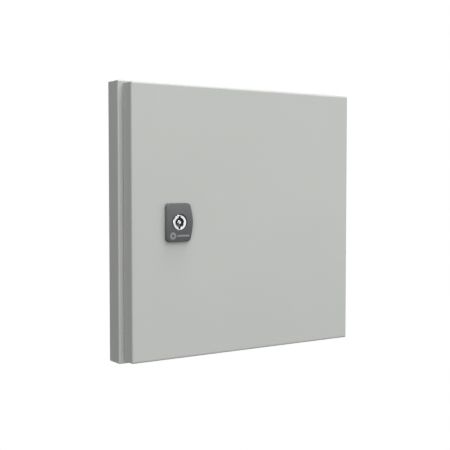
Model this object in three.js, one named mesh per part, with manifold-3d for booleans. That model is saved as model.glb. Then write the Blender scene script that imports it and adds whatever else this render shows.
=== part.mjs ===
// A shallow wall-mounted steel enclosure: a folded sheet-metal body with a rain gutter, one hinged
// door on two concealed hinges, and a quarter-turn double-bit lock that hooks behind a striker.
//
// Every piece is drawn in panel axes, in millimetres: x runs to the hinge side, y runs up, and z is
// the distance out from the wall. The whole group is then turned, so that +Z is up and the back of
// the body lies in the plane Y = 0 with its centre at the origin.

import * as THREE from 'three';
import { mergeVertices } from 'three/addons/utils/BufferGeometryUtils.js';
import Module from 'manifold-3d';

const wasm = await Module();
wasm.setup();

// ---------------------------------------------------------------- driving dimensions

const BODY_WIDTH = 304;
const BODY_HEIGHT = 300;
const BODY_DEPTH = 23.1;
const SHEET = 1.2;
const BODY_BEND = 1.6;
const DOOR_BEND = 2.2;
const DOOR_OVERHANG = 3;
const DOOR_GAP = 2.2;
const DOOR_DEPTH = 18.7;
const GUTTER_WIDTH = 17;
const GUTTER_LIP = 11.5;
const CLEAR = 0.3;
const ARC_STEPS = 2;
const ROUND_SIDES = 20;

const LOCK_X = -92.5;
const HINGE_Y = 95;
const WALL_HOLE_PITCH = 244;
const PLATE_SIZE = 226;
const PLATE_STUD_PITCH = 200;

// ---------------------------------------------------------------- places worked out from them

const HALF_WIDTH = BODY_WIDTH / 2;
const HALF_HEIGHT = BODY_HEIGHT / 2;
const HALF_DOOR = HALF_HEIGHT - DOOR_OVERHANG;
const DOOR_REAR = BODY_DEPTH + DOOR_GAP;
const DOOR_FRONT = DOOR_REAR + DOOR_DEPTH;
const DOOR_INNER = DOOR_FRONT - SHEET;
const LIP_OUTER = HALF_HEIGHT - GUTTER_WIDTH;
const LIP_INNER = LIP_OUTER - SHEET;
const LIP_FRONT = BODY_DEPTH + GUTTER_LIP;
const BODY_CORNER = BODY_BEND + 0.5;
const DOOR_CORNER = DOOR_BEND + 0.5;

const STEEL_PAINT = { color: 0xc3c5c1, roughness: 0.5, metalness: 0.0 };
const ZINC = { color: 0xb9bcc0, roughness: 0.35, metalness: 1.0 };
const CHROME = { color: 0xe4e5e6, roughness: 0.12, metalness: 1.0 };
const DARK_PLASTIC = { color: 0x55565a, roughness: 0.55, metalness: 0.0 };
const RUBBER = { color: 0x232426, roughness: 0.85, metalness: 0.0 };
const DIE_CAST = { color: 0x9a9ca0, roughness: 0.45, metalness: 0.9 };

// ---------------------------------------------------------------- solids

function solidFrom(geometry) {
  const bare = geometry.clone();
  bare.deleteAttribute('normal');
  bare.deleteAttribute('uv');
  const merged = mergeVertices(bare, 1e-4);
  return new wasm.Manifold(new wasm.Mesh({
    numProp: 3,
    vertProperties: new Float32Array(merged.attributes.position.array),
    triVerts: new Uint32Array(merged.index.array),
  }));
}

function geometryFrom(solid) {
  const mesh = solid.getMesh();
  const geometry = new THREE.BufferGeometry();
  geometry.setAttribute('position', new THREE.BufferAttribute(mesh.vertProperties, 3));
  geometry.setIndex(new THREE.BufferAttribute(mesh.triVerts, 1));
  return geometry;
}

// A flat outline in x and y, standing out from the wall between two distances.
function prism(shape, from, to, x = 0, y = 0) {
  const geometry = new THREE.ExtrudeGeometry(shape, {
    depth: to - from,
    bevelEnabled: false,
    curveSegments: ARC_STEPS,
  });
  geometry.translate(x, y, from);
  return solidFrom(geometry);
}

// A flat outline in x and z, running upwards between two heights.
function upright(shape, low, high) {
  const geometry = new THREE.ExtrudeGeometry(shape, {
    depth: high - low,
    bevelEnabled: false,
    curveSegments: ARC_STEPS,
  });
  geometry.rotateX(Math.PI / 2);
  geometry.translate(0, high, 0);
  return solidFrom(geometry);
}

// A solid turned about a z axis. The profile lists [radius, z] and starts and ends on the axis.
function turned(profile, x, y) {
  const points = profile.map(([radius, z]) => new THREE.Vector2(radius, z));
  const geometry = new THREE.LatheGeometry(points, ROUND_SIDES);
  geometry.rotateX(Math.PI / 2);
  geometry.scale(1, -1, 1);
  geometry.index.array.reverse();
  geometry.translate(x, y, 0);
  return solidFrom(geometry);
}

function disc(radius, from, to, x = 0, y = 0) {
  return prism(polygon(ROUND_SIDES, radius), from, to, x, y);
}

// ---------------------------------------------------------------- outlines

function polygon(sides, radius, x = 0, y = 0) {
  const points = [];
  for (let i = 0; i < sides; i += 1) {
    const turn = (2 * Math.PI * i) / sides;
    points.push(new THREE.Vector2(x + radius * Math.cos(turn), y + radius * Math.sin(turn)));
  }
  return new THREE.Shape(points);
}

function rectangle(left, bottom, right, top) {
  const shape = new THREE.Shape();
  shape.moveTo(left, bottom);
  shape.lineTo(right, bottom);
  shape.lineTo(right, top);
  shape.lineTo(left, top);
  shape.closePath();
  return shape;
}

function roundedRectangle(halfWidth, halfHeight, radius) {
  const shape = new THREE.Shape();
  const across = halfWidth - radius;
  const up = halfHeight - radius;
  shape.moveTo(-across, -halfHeight);
  shape.lineTo(across, -halfHeight);
  shape.absarc(across, -up, radius, -Math.PI / 2, 0);
  shape.lineTo(halfWidth, up);
  shape.absarc(across, up, radius, 0, Math.PI / 2);
  shape.lineTo(-across, halfHeight);
  shape.absarc(-across, up, radius, Math.PI / 2, Math.PI);
  shape.lineTo(-halfWidth, -up);
  shape.absarc(-across, -up, radius, Math.PI, 1.5 * Math.PI);
  return shape;
}

function roundedSquare(half, radius) {
  return roundedRectangle(half, half, radius);
}

// A block whose front edge and four corners are bent round, as a pressed tray is outside.
function bentBlock(halfWidth, halfHeight, from, to, bend, corner) {
  const geometry = new THREE.ExtrudeGeometry(roundedRectangle(halfWidth, halfHeight, corner), {
    depth: to - from - bend + 1,
    bevelThickness: bend,
    bevelSize: bend,
    bevelOffset: -bend,
    bevelSegments: 3,
    curveSegments: ARC_STEPS,
  });
  geometry.translate(0, 0, from - 1);
  const wide = halfWidth + 1;
  const tall = halfHeight + 1;
  const kept = prism(rectangle(-wide, -tall, wide, tall), from, to + 1);
  return solidFrom(geometry).intersect(kept);
}

function squareRing(outerHalf, innerHalf, from, to, radius) {
  const outer = prism(roundedSquare(outerHalf, radius), from, to);
  const innerRadius = radius - (outerHalf - innerHalf);
  const inner = prism(roundedSquare(innerHalf, innerRadius), from - 1, to + 1);
  return outer.subtract(inner);
}

// The four corners of a square pattern, each with its sign along x and y.
const CORNERS = [[-1, -1], [1, -1], [1, 1], [-1, 1]];

// ---------------------------------------------------------------- the group

const panel = new THREE.Group();

function add(name, solid, finish) {
  const mesh = new THREE.Mesh(geometryFrom(solid), new THREE.MeshStandardMaterial(finish));
  mesh.name = name;
  panel.add(mesh);
}

// ---------------------------------------------------------------- threaded fasteners

function hexNut(threadRadius, acrossFlats, from, to, x, y) {
  const hexagon = prism(polygon(6, acrossFlats / Math.sqrt(3)), from, to, x, y);
  return hexagon.subtract(disc(threadRadius + CLEAR, from - 1, to + 1, x, y));
}

function washer(threadRadius, radius, from, to, x, y) {
  return disc(radius, from, to, x, y).subtract(disc(threadRadius + CLEAR, from - 1, to + 1, x, y));
}

// ---------------------------------------------------------------- body

const WALL_HOLE_RADIUS = 4.25;
const GROMMET_HOLE = 8.2;
const GROMMET_X = 40;
const GROMMET_Z = 11.2;
const M6 = 3;

// A round hole through the bottom wall of the body.
function bottomHole(x) {
  const circle = polygon(ROUND_SIDES, GROMMET_HOLE, x, GROMMET_Z);
  return upright(circle, -HALF_HEIGHT - 1, -HALF_HEIGHT + SHEET + 2);
}

function bodyShell() {
  const outside = bentBlock(HALF_WIDTH, HALF_HEIGHT, 0, BODY_DEPTH, BODY_BEND, BODY_CORNER);
  const inside = bentBlock(
    HALF_WIDTH - SHEET, HALF_HEIGHT - SHEET, SHEET, BODY_DEPTH - SHEET,
    BODY_BEND - SHEET, BODY_CORNER - SHEET);
  const lip = squareRing(LIP_OUTER, LIP_INNER, BODY_DEPTH - SHEET, LIP_FRONT, BODY_CORNER + SHEET);
  const opening = prism(roundedSquare(LIP_INNER, BODY_CORNER), SHEET + 1, BODY_DEPTH + 1);
  let shell = outside.subtract(inside).subtract(opening).add(lip);
  for (const [sx, sy] of CORNERS) {
    const pitch = WALL_HOLE_PITCH / 2;
    shell = shell.subtract(disc(WALL_HOLE_RADIUS, -1, SHEET + 1, sx * pitch, sy * pitch));
  }
  for (const x of [-GROMMET_X, GROMMET_X]) {
    shell = shell.subtract(bottomHole(x));
  }
  return shell;
}

// A rubber membrane grommet that grips the edge of a hole in the bottom wall.
function cableGrommet(x) {
  const outer = -HALF_HEIGHT;
  const neck = GROMMET_HOLE - 2 * CLEAR;
  const flange = GROMMET_HOLE + 1.4;
  const profile = [
    [0, outer - 0.6],
    [neck - 2, outer - 0.6],
    [neck - 1.4, outer - 1.6],
    [flange, outer - 1.6],
    [flange, outer - CLEAR],
    [neck, outer - CLEAR],
    [neck, outer + SHEET + CLEAR],
    [neck + 0.9, outer + SHEET + CLEAR],
    [neck - 0.6, outer + SHEET + 3],
    [neck - 2.2, outer + SHEET + 3],
    [neck - 2.2, outer + 0.6],
    [0, outer + 0.6],
  ];
  const points = profile.map(([radius, y]) => new THREE.Vector2(radius, y));
  const geometry = new THREE.LatheGeometry(points, ROUND_SIDES);
  geometry.translate(x, 0, GROMMET_Z);
  return solidFrom(geometry);
}

// ---------------------------------------------------------------- mounting plate and its studs

const PLATE_REAR = 9;
const PLATE_FRONT = 11;
const PLATE_STEP = 1;
const PLATE_PAD = 25;
const PAD_REAR = PLATE_REAR - PLATE_STEP;
const PAD_FRONT = PLATE_FRONT - PLATE_STEP;
const STUD_BASE = SHEET + CLEAR;

// A square plate whose four corners are pressed back one step, so that the nuts on them leave the
// field of the plate free.
function mountingPlate() {
  const half = PLATE_SIZE / 2;
  const corner = half - PLATE_PAD;
  const sheet = prism(roundedSquare(half, 4), PAD_REAR, PLATE_FRONT);
  const wide = rectangle(-half, -corner, half, corner);
  const tall = rectangle(-corner, -half, corner, half);
  const field = prism(wide, PLATE_REAR, PLATE_FRONT).add(prism(tall, PLATE_REAR, PLATE_FRONT));
  const pads = prism(roundedSquare(half, 4), PAD_REAR, PAD_FRONT)
    .subtract(prism(wide, PAD_REAR - 1, PAD_FRONT + 1))
    .subtract(prism(tall, PAD_REAR - 1, PAD_FRONT + 1));
  let plate = field.add(pads).intersect(sheet);
  for (const [sx, sy] of CORNERS) {
    const pitch = PLATE_STUD_PITCH / 2;
    plate = plate.subtract(
      disc(M6 + CLEAR, PAD_REAR - 1, PLATE_FRONT + 1, sx * pitch, sy * pitch));
  }
  return plate;
}

// A stud with a broad shoulder that carries the plate clear of the back wall.
function shoulderStud(x, y) {
  return turned([
    [0, STUD_BASE],
    [6, STUD_BASE],
    [6, PAD_REAR - CLEAR],
    [M6, PAD_REAR - CLEAR],
    [M6, PAD_FRONT + 7.4],
    [M6 - 0.8, PAD_FRONT + 8.2],
    [0, PAD_FRONT + 8.2],
  ], x, y);
}

// ---------------------------------------------------------------- earth studs

const EARTH_BODY = [0, -124];
const EARTH_DOOR = [-104, -104];

function bodyEarthStud() {
  const [x, y] = EARTH_BODY;
  return turned([
    [0, STUD_BASE],
    [M6 + 1.5, STUD_BASE],
    [M6 + 1.5, STUD_BASE + 1],
    [M6, STUD_BASE + 1],
    [M6, 15.4],
    [M6 - 0.8, 16.2],
    [0, 16.2],
  ], x, y);
}

function doorEarthStud() {
  const [x, y] = EARTH_DOOR;
  const base = DOOR_INNER - CLEAR;
  return turned([
    [0, base - 14.5],
    [M6 - 0.8, base - 14.5],
    [M6, base - 13.7],
    [M6, base - 1],
    [M6 + 1.5, base - 1],
    [M6 + 1.5, base],
    [0, base],
  ], x, y);
}

// ---------------------------------------------------------------- hinges

const HINGE_X = 142.5;
const HINGE_Z = DOOR_FRONT - 13.6;
const KNUCKLE = 3;
const PIN = 1.5;
const LEAF = 1.5;
const LEAF_HALF = 25;
const DOOR_KNUCKLE_HALF = 8;
const KNUCKLE_CLEAR = 3.6;

function knuckleOutline(radius) {
  return polygon(ROUND_SIDES, radius, HINGE_X, HINGE_Z);
}

// The leaf on the body: a riser welded to the lip, and a web that reaches over the door's edge fold
// to the two outer knuckles.
function hingeBodyLeaf(y) {
  const riserLeft = LIP_OUTER + CLEAR;
  const webFront = HINGE_Z + LEAF + 1;
  const low = y - LEAF_HALF;
  const high = y + LEAF_HALF;
  const riser = rectangle(riserLeft, BODY_DEPTH + CLEAR, riserLeft + LEAF, webFront);
  let leaf = upright(riser, low, high);
  const ends = [
    [low, y - DOOR_KNUCKLE_HALF - CLEAR],
    [y + DOOR_KNUCKLE_HALF + CLEAR, high],
  ];
  for (const [from, to] of ends) {
    const web = rectangle(riserLeft, webFront - LEAF, HINGE_X, webFront);
    leaf = leaf.add(upright(web, from, to)).add(upright(knuckleOutline(KNUCKLE), from, to));
  }
  return leaf.subtract(upright(knuckleOutline(PIN + CLEAR), low - 1, high + 1));
}

// The leaf on the door: a plate against the edge fold, with one knuckle between the other two.
function hingeDoorLeaf(y) {
  const right = HALF_DOOR - SHEET - CLEAR;
  const left = right - LEAF;
  const top = y + DOOR_KNUCKLE_HALF;
  const bottom = y - DOOR_KNUCKLE_HALF;
  const plate = upright(
    rectangle(left, HINGE_Z + KNUCKLE_CLEAR, right, DOOR_FRONT - DOOR_BEND - CLEAR),
    y - LEAF_HALF, y + LEAF_HALF);
  const strap = upright(
    rectangle(left, HINGE_Z, right, HINGE_Z + KNUCKLE_CLEAR + 1), bottom, top);
  const knuckle = upright(knuckleOutline(KNUCKLE), bottom, top);
  const bore = upright(knuckleOutline(PIN + CLEAR), bottom - 1, top + 1);
  return plate.add(strap).add(knuckle).subtract(bore);
}

function hingePin(y) {
  const high = y + LEAF_HALF;
  const shank = upright(knuckleOutline(PIN), y - LEAF_HALF - 1.5, high + 1);
  const head = upright(knuckleOutline(KNUCKLE - 0.4), high + CLEAR, high + 2);
  return shank.add(head);
}

// ---------------------------------------------------------------- door

function doorShell() {
  const outside = bentBlock(
    HALF_DOOR, HALF_DOOR, DOOR_REAR, DOOR_FRONT, DOOR_BEND, DOOR_CORNER);
  const inside = bentBlock(
    HALF_DOOR - SHEET, HALF_DOOR - SHEET, DOOR_REAR - 1, DOOR_INNER,
    DOOR_BEND - SHEET, DOOR_CORNER - SHEET);
  const lockHole = disc(LOCK_SLEEVE + CLEAR, DOOR_INNER - 1, DOOR_FRONT + 1, LOCK_X, 0);
  return outside.subtract(inside).subtract(lockHole);
}

// A foamed ring that the front edge of the gutter lip presses into.
function doorGasket() {
  const middle = (LIP_OUTER + LIP_INNER) / 2;
  return squareRing(middle + 5, middle - 5, LIP_FRONT + CLEAR, DOOR_INNER - CLEAR, 14);
}

// ---------------------------------------------------------------- lock

const LOCK_SLEEVE = 11;
const LOCK_REAR = DOOR_FRONT - 13;
const SEAL_FRONT = DOOR_FRONT + 1.2;
const FLANGE_FRONT = DOOR_FRONT + 2.9;
const COVER_FRONT = DOOR_FRONT + 5.6;
const INSERT_FRONT = COVER_FRONT - 0.6;
const INSERT_HEAD = 8.2;
const INSERT_SHANK = 7.3;
const SOCKET_FLOOR = DOOR_FRONT - 2;
const CAM_FRONT = LOCK_REAR - CLEAR;
const CAM_THICK = 3;
const CAM_REACH = 33.5;
const CAM_HALF_WIDTH = 7;
const SQUARE_HALF = 3.6;

// The cover's outline about the lock axis: square to the latch side, with a shallow point on the
// hinge side at the height of the lock axis.
function coverOutline(inset) {
  const left = -15.6 + inset;
  const right = 14.4 - inset;
  const peak = 16.5 - inset;
  const half = 20.8 - inset;
  const round = 4 - inset / 2;
  const shape = new THREE.Shape();
  shape.moveTo(left + round, -half);
  shape.lineTo(right - round, -half);
  shape.quadraticCurveTo(right - 0.3, -half, right, -half + round);
  shape.quadraticCurveTo(peak, -5, peak, 0);
  shape.quadraticCurveTo(peak, 5, right, half - round);
  shape.quadraticCurveTo(right - 0.3, half, right - round, half);
  shape.lineTo(left + round, half);
  shape.absarc(left + round, half - round, round, Math.PI / 2, Math.PI);
  shape.lineTo(left, -half + round);
  shape.absarc(left + round, -half + round, round, Math.PI, 1.5 * Math.PI);
  return shape;
}

// The plastic cover over the lock's flange: a hollow cap with one round window.
function lockCover() {
  const rear = DOOR_FRONT + CLEAR;
  const base = prism(coverOutline(0), rear, COVER_FRONT - 1, LOCK_X);
  const step = prism(coverOutline(0.5), COVER_FRONT - 1.2, COVER_FRONT - 0.4, LOCK_X);
  const face = prism(coverOutline(1.1), COVER_FRONT - 0.6, COVER_FRONT, LOCK_X);
  const hollow = disc(14.2, rear - 1, FLANGE_FRONT + CLEAR, LOCK_X, 0);
  const window = disc(9.4, FLANGE_FRONT, COVER_FRONT + 1, LOCK_X, 0);
  return base.add(step).add(face).subtract(hollow).subtract(window);
}

function lockSeal() {
  return washer(LOCK_SLEEVE, 13.8, DOOR_FRONT + CLEAR, SEAL_FRONT, LOCK_X, 0);
}

// The die-cast housing: a flange under the cover and a threaded sleeve through the door.
function lockHousing() {
  const flange = disc(13.6, SEAL_FRONT + CLEAR, FLANGE_FRONT, LOCK_X, 0);
  const sleeve = disc(LOCK_SLEEVE, LOCK_REAR + 1, SEAL_FRONT + 1, LOCK_X, 0);
  const bore = disc(INSERT_SHANK + CLEAR, LOCK_REAR - 1, FLANGE_FRONT + 1, LOCK_X, 0);
  return flange.add(sleeve).subtract(bore);
}

function lockNut() {
  return hexNut(LOCK_SLEEVE, 27, DOOR_INNER - CLEAR - 4, DOOR_INNER - CLEAR, LOCK_X, 0);
}

// The double-bit keyhole: a round socket with one slot above it and one below.
function keyhole(from, to) {
  const socket = disc(5.2, from, to, LOCK_X, 0);
  const slots = prism(rectangle(-1.3, -6.9, 1.3, 6.9), from, to, LOCK_X);
  return socket.add(slots);
}

// The rotating insert, with a square tail that carries the cam.
function lockInsert() {
  const head = disc(INSERT_HEAD, FLANGE_FRONT + CLEAR, INSERT_FRONT, LOCK_X, 0);
  const shank = disc(INSERT_SHANK, LOCK_REAR, FLANGE_FRONT + 1, LOCK_X, 0);
  const tail = prism(
    rectangle(-SQUARE_HALF, -SQUARE_HALF, SQUARE_HALF, SQUARE_HALF),
    CAM_FRONT - CAM_THICK + 0.2, LOCK_REAR + 1, LOCK_X);
  const screwBore = disc(2.8, CAM_FRONT - CAM_THICK - 1, LOCK_REAR + 4, LOCK_X, 0);
  const pinSeat = disc(2.4 + CLEAR, SOCKET_FLOOR - 1.5, SOCKET_FLOOR + 1, LOCK_X, 0);
  const solid = head.add(shank).add(tail);
  return solid.subtract(screwBore).subtract(keyhole(SOCKET_FLOOR, INSERT_FRONT + 1)).subtract(pinSeat);
}

function lockPin() {
  return turned([
    [0, SOCKET_FLOOR - 1.5 + CLEAR],
    [2.4, SOCKET_FLOOR - 1.5 + CLEAR],
    [2.4, INSERT_FRONT - 1.2],
    [1.8, INSERT_FRONT - 0.5],
    [0, INSERT_FRONT - 0.5],
  ], LOCK_X, 0);
}

// The cam: a flat tongue with a square hole, pointing up while the lock is open.
function lockCam() {
  const shape = new THREE.Shape();
  const tip = CAM_REACH - CAM_HALF_WIDTH;
  shape.moveTo(-CAM_HALF_WIDTH - 2, 0);
  shape.absarc(0, 0, CAM_HALF_WIDTH + 2, Math.PI, 2 * Math.PI);
  shape.lineTo(CAM_HALF_WIDTH, 10);
  shape.lineTo(CAM_HALF_WIDTH, tip);
  shape.absarc(0, tip, CAM_HALF_WIDTH, 0, Math.PI);
  shape.lineTo(-CAM_HALF_WIDTH, 10);
  shape.closePath();
  const tongue = prism(shape, CAM_FRONT - CAM_THICK, CAM_FRONT, LOCK_X);
  const half = SQUARE_HALF + CLEAR;
  const hole = prism(
    rectangle(-half, -half, half, half), CAM_FRONT - CAM_THICK - 1, CAM_FRONT + 1, LOCK_X);
  return tongue.subtract(hole);
}

const CAM_WASHER_FRONT = CAM_FRONT - CAM_THICK - CLEAR;
const CAM_WASHER_THICK = 1;

function camWasher() {
  return washer(2.5, 6.5, CAM_WASHER_FRONT - CAM_WASHER_THICK, CAM_WASHER_FRONT, LOCK_X, 0);
}

function camScrew() {
  const seat = CAM_WASHER_FRONT - CAM_WASHER_THICK - CLEAR;
  const head = prism(polygon(6, 4.6), seat - 3.4, seat, LOCK_X);
  const shank = disc(2.5, seat - 1, LOCK_REAR + 3.4, LOCK_X, 0);
  return head.add(shank);
}

// The striker: an angle welded inside the gutter lip, whose tab the cam slides behind.
function lockStriker() {
  const left = -LIP_INNER + CLEAR;
  const tabRear = CAM_FRONT + 2 * CLEAR;
  const tabFront = tabRear + LEAF;
  const base = upright(rectangle(left, BODY_DEPTH + 2, left + LEAF, tabFront), -16, 16);
  const tab = upright(rectangle(left, tabRear, LOCK_X - 25, tabFront), -16, 16);
  return base.add(tab);
}

// ---------------------------------------------------------------- assembly

function addBody() {
  add('body_shell', bodyShell(), STEEL_PAINT);
  add('cable_grommet_left', cableGrommet(-GROMMET_X), RUBBER);
  add('cable_grommet_right', cableGrommet(GROMMET_X), RUBBER);
  add('lock_striker', lockStriker(), ZINC);
}

function addMountingPlate() {
  add('mounting_plate', mountingPlate(), ZINC);
  const washerRear = PAD_FRONT + CLEAR;
  const nutRear = washerRear + 1.2 + CLEAR;
  CORNERS.forEach(([sx, sy], index) => {
    const x = (sx * PLATE_STUD_PITCH) / 2;
    const y = (sy * PLATE_STUD_PITCH) / 2;
    const number = index + 1;
    add(`plate_stud_${number}`, shoulderStud(x, y), ZINC);
    add(`plate_washer_${number}`, washer(M6, 6, washerRear, washerRear + 1.2, x, y), ZINC);
    add(`plate_nut_${number}`, hexNut(M6, 10, nutRear, nutRear + 5, x, y), ZINC);
  });
}

function addEarthing() {
  const bodyWasher = STUD_BASE + 1 + CLEAR;
  const bodyNut = bodyWasher + 1.2 + CLEAR;
  add('body_earth_stud', bodyEarthStud(), ZINC);
  add('body_earth_washer', washer(M6, 6, bodyWasher, bodyWasher + 1.2, ...EARTH_BODY), ZINC);
  add('body_earth_nut', hexNut(M6, 10, bodyNut, bodyNut + 5, ...EARTH_BODY), ZINC);
  const doorWasher = DOOR_INNER - 1 - 2 * CLEAR;
  const doorNut = doorWasher - 1.2 - CLEAR;
  add('door_earth_stud', doorEarthStud(), ZINC);
  add('door_earth_washer', washer(M6, 6, doorWasher - 1.2, doorWasher, ...EARTH_DOOR), ZINC);
  add('door_earth_nut', hexNut(M6, 10, doorNut - 5, doorNut, ...EARTH_DOOR), ZINC);
}

function addHinge(place, y) {
  add(`hinge_${place}_body_leaf`, hingeBodyLeaf(y), ZINC);
  add(`hinge_${place}_door_leaf`, hingeDoorLeaf(y), ZINC);
  add(`hinge_${place}_pin`, hingePin(y), ZINC);
}

function addDoor() {
  add('door_shell', doorShell(), STEEL_PAINT);
  add('door_gasket', doorGasket(), RUBBER);
}

function addLock() {
  add('lock_cover', lockCover(), DARK_PLASTIC);
  add('lock_seal', lockSeal(), RUBBER);
  add('lock_housing', lockHousing(), DIE_CAST);
  add('lock_nut', lockNut(), ZINC);
  add('lock_insert', lockInsert(), CHROME);
  add('lock_pin', lockPin(), CHROME);
  add('lock_cam', lockCam(), ZINC);
  add('lock_cam_washer', camWasher(), ZINC);
  add('lock_cam_screw', camScrew(), ZINC);
}

addBody();
addMountingPlate();
addEarthing();
addHinge('bottom', -HINGE_Y);
addHinge('top', HINGE_Y);
addDoor();
addLock();

panel.rotation.x = Math.PI / 2;

const group = new THREE.Group();
group.add(panel);

export default group;
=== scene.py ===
"""The looks of a shallow wall-mounted steel enclosure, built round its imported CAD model."""

import math

import bmesh
import bpy
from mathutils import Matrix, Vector


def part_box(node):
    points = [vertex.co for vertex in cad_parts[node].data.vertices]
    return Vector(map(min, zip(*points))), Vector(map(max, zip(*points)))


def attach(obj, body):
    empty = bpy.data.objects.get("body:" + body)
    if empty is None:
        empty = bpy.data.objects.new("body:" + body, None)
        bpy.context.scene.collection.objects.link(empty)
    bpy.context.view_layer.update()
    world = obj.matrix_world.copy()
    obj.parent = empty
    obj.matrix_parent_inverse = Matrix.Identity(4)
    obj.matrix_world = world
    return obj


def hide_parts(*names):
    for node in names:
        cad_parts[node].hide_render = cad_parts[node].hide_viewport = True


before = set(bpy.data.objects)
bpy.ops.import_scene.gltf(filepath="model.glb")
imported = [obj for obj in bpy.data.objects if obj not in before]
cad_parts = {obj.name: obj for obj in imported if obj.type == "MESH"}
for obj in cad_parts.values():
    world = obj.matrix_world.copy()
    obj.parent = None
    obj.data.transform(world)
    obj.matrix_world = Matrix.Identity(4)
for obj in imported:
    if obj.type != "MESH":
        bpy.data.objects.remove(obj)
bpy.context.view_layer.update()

MM = 0.001
TURN = 2 * math.pi

# ------------------------------------------------------------------ sizes, in millimetres
# Panel axes: x runs to the hinge side, up is up, and out is the distance out from the wall.


def panel_box(node):
    """A CAD node's extent in panel axes: two (x, up, out) corners, lowest and highest."""
    low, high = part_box(node)
    return (
        Vector((low.x, low.z, -high.y)) / MM,
        Vector((high.x, high.z, -low.y)) / MM,
    )


CLEAR = 0.3  # between neighbouring pieces
SHEET = 1.2  # thickness of the folded sheet
BODY_BEND = 1.6  # outer radius of the body's front fold
DOOR_BEND = 2.2  # outer radius of the door's fold
CORNER = 1.2  # outer radius of the corners where two sides meet
LEAST_CORNER = 0.15
PANEL_INSET = 14  # from a panel's edge to where the section of its fold begins

body_high = panel_box("body_shell")[1]
door_low, door_high = panel_box("door_shell")
leaf_low = panel_box("hinge_top_body_leaf")[0]
cover_low, cover_high = panel_box("lock_cover")

HALF_WIDTH = body_high.x
HALF_HEIGHT = body_high.y
HALF_DOOR = door_high.x
LIP_FRONT = body_high.z
DOOR_REAR = door_low.z
DOOR_FRONT = door_high.z
FLANGE = leaf_low.z - CLEAR
LIP_OUTER = leaf_low.x - CLEAR
LIP_INNER = LIP_OUTER - SHEET


def centre_of(node):
    """The middle of a CAD node, as (x, up)."""
    low, high = panel_box(node)
    middle = (low + high) / 2
    return middle.x, middle.y


LOCK = centre_of("lock_insert")
HINGE = centre_of("hinge_top_pin")[0]
HINGE_OUT = sum(corner.z for corner in panel_box("hinge_top_pin")) / 2


def at(x, up, out):
    """A point in the row frame, in metres."""
    return Vector((x, -out, up)) * MM


# ------------------------------------------------------------------ material nodes


class Paint:
    """One procedural material on the Principled shader, made a feature at a time."""

    def __init__(self, name, colour, roughness, metallic=0.0, specular=0.5):
        self.material = bpy.data.materials.new(name)
        self.material.use_nodes = True
        self.nodes = self.material.node_tree.nodes
        self.links = self.material.node_tree.links
        self.shader = self.nodes["Principled BSDF"]
        self.shader.inputs["Base Color"].default_value = (*colour, 1)
        self.shader.inputs["Roughness"].default_value = roughness
        self.shader.inputs["Metallic"].default_value = metallic
        self.shader.inputs["Specular IOR Level"].default_value = specular
        self.place = self.nodes.new("ShaderNodeTexCoord").outputs["Object"]
        self.normal = None

    def noise(self, scale, detail=2.0, roughness=0.5):
        """A cloudy value near 0.5; a higher scale makes it finer."""
        node = self.nodes.new("ShaderNodeTexNoise")
        node.inputs["Scale"].default_value = scale
        node.inputs["Detail"].default_value = detail
        node.inputs["Roughness"].default_value = roughness
        self.links.new(self.place, node.inputs["Vector"])
        return node.outputs["Fac"]

    def cells(self, scale, output="Distance"):
        """Irregular cells: the distance to a cell's middle, or each cell's own colour."""
        node = self.nodes.new("ShaderNodeTexVoronoi")
        node.inputs["Scale"].default_value = scale
        self.links.new(self.place, node.inputs["Vector"])
        return node.outputs[output]

    def spread(self, value, low, high):
        """A value near 0.5 spread over low to high."""
        node = self.nodes.new("ShaderNodeMapRange")
        node.inputs["From Min"].default_value = 0.25
        node.inputs["From Max"].default_value = 0.75
        node.inputs["To Min"].default_value = low
        node.inputs["To Max"].default_value = high
        self.links.new(value, node.inputs["Value"])
        return node.outputs["Result"]

    def vary_colour(self, value, first, second):
        """The base colour runs from first to second as the value goes from 0 to 1."""
        node = self.nodes.new("ShaderNodeMix")
        node.data_type = "RGBA"
        node.inputs[6].default_value = (*first, 1)
        node.inputs[7].default_value = (*second, 1)
        self.links.new(value, node.inputs[0])
        self.links.new(node.outputs[2], self.shader.inputs["Base Color"])

    def vary_roughness(self, value, low, high):
        """The roughness runs from low to high with the value."""
        self.links.new(self.spread(value, low, high), self.shader.inputs["Roughness"])

    def bump(self, height, depth, strength=1.0):
        """Raises the surface by up to depth metres, on top of the bumps made before."""
        node = self.nodes.new("ShaderNodeBump")
        node.inputs["Distance"].default_value = depth
        node.inputs["Strength"].default_value = strength
        self.links.new(height, node.inputs["Height"])
        if self.normal is not None:
            self.links.new(self.normal, node.inputs["Normal"])
        self.normal = node.outputs["Normal"]
        self.links.new(self.normal, self.shader.inputs["Normal"])


def powder_coat():
    """Light-grey polyester powder: a faint orange peel, a fine grain, and thickness clouds."""
    paint = Paint("powder_coat_light_grey", (0.59, 0.603, 0.58), 0.46, specular=0.4)
    paint.vary_colour(
        paint.spread(paint.noise(9, 3), 0, 1), (0.582, 0.595, 0.572), (0.598, 0.611, 0.588))
    paint.vary_roughness(paint.noise(160, 3), 0.42, 0.5)
    paint.bump(paint.noise(420, 2), 0.00006)
    paint.bump(paint.noise(2600, 2), 0.000012)
    return paint.material


def zinc_plate():
    """Blue-white zinc on pressed steel, with a fine crystalline grain."""
    paint = Paint("zinc_plate", (0.66, 0.68, 0.7), 0.34, metallic=1)
    paint.vary_colour(
        paint.spread(paint.noise(120, 4), 0, 1), (0.58, 0.6, 0.63), (0.72, 0.73, 0.73))
    paint.vary_roughness(paint.noise(900, 4), 0.26, 0.44)
    paint.bump(paint.noise(3000, 3), 0.000008)
    return paint.material


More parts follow.
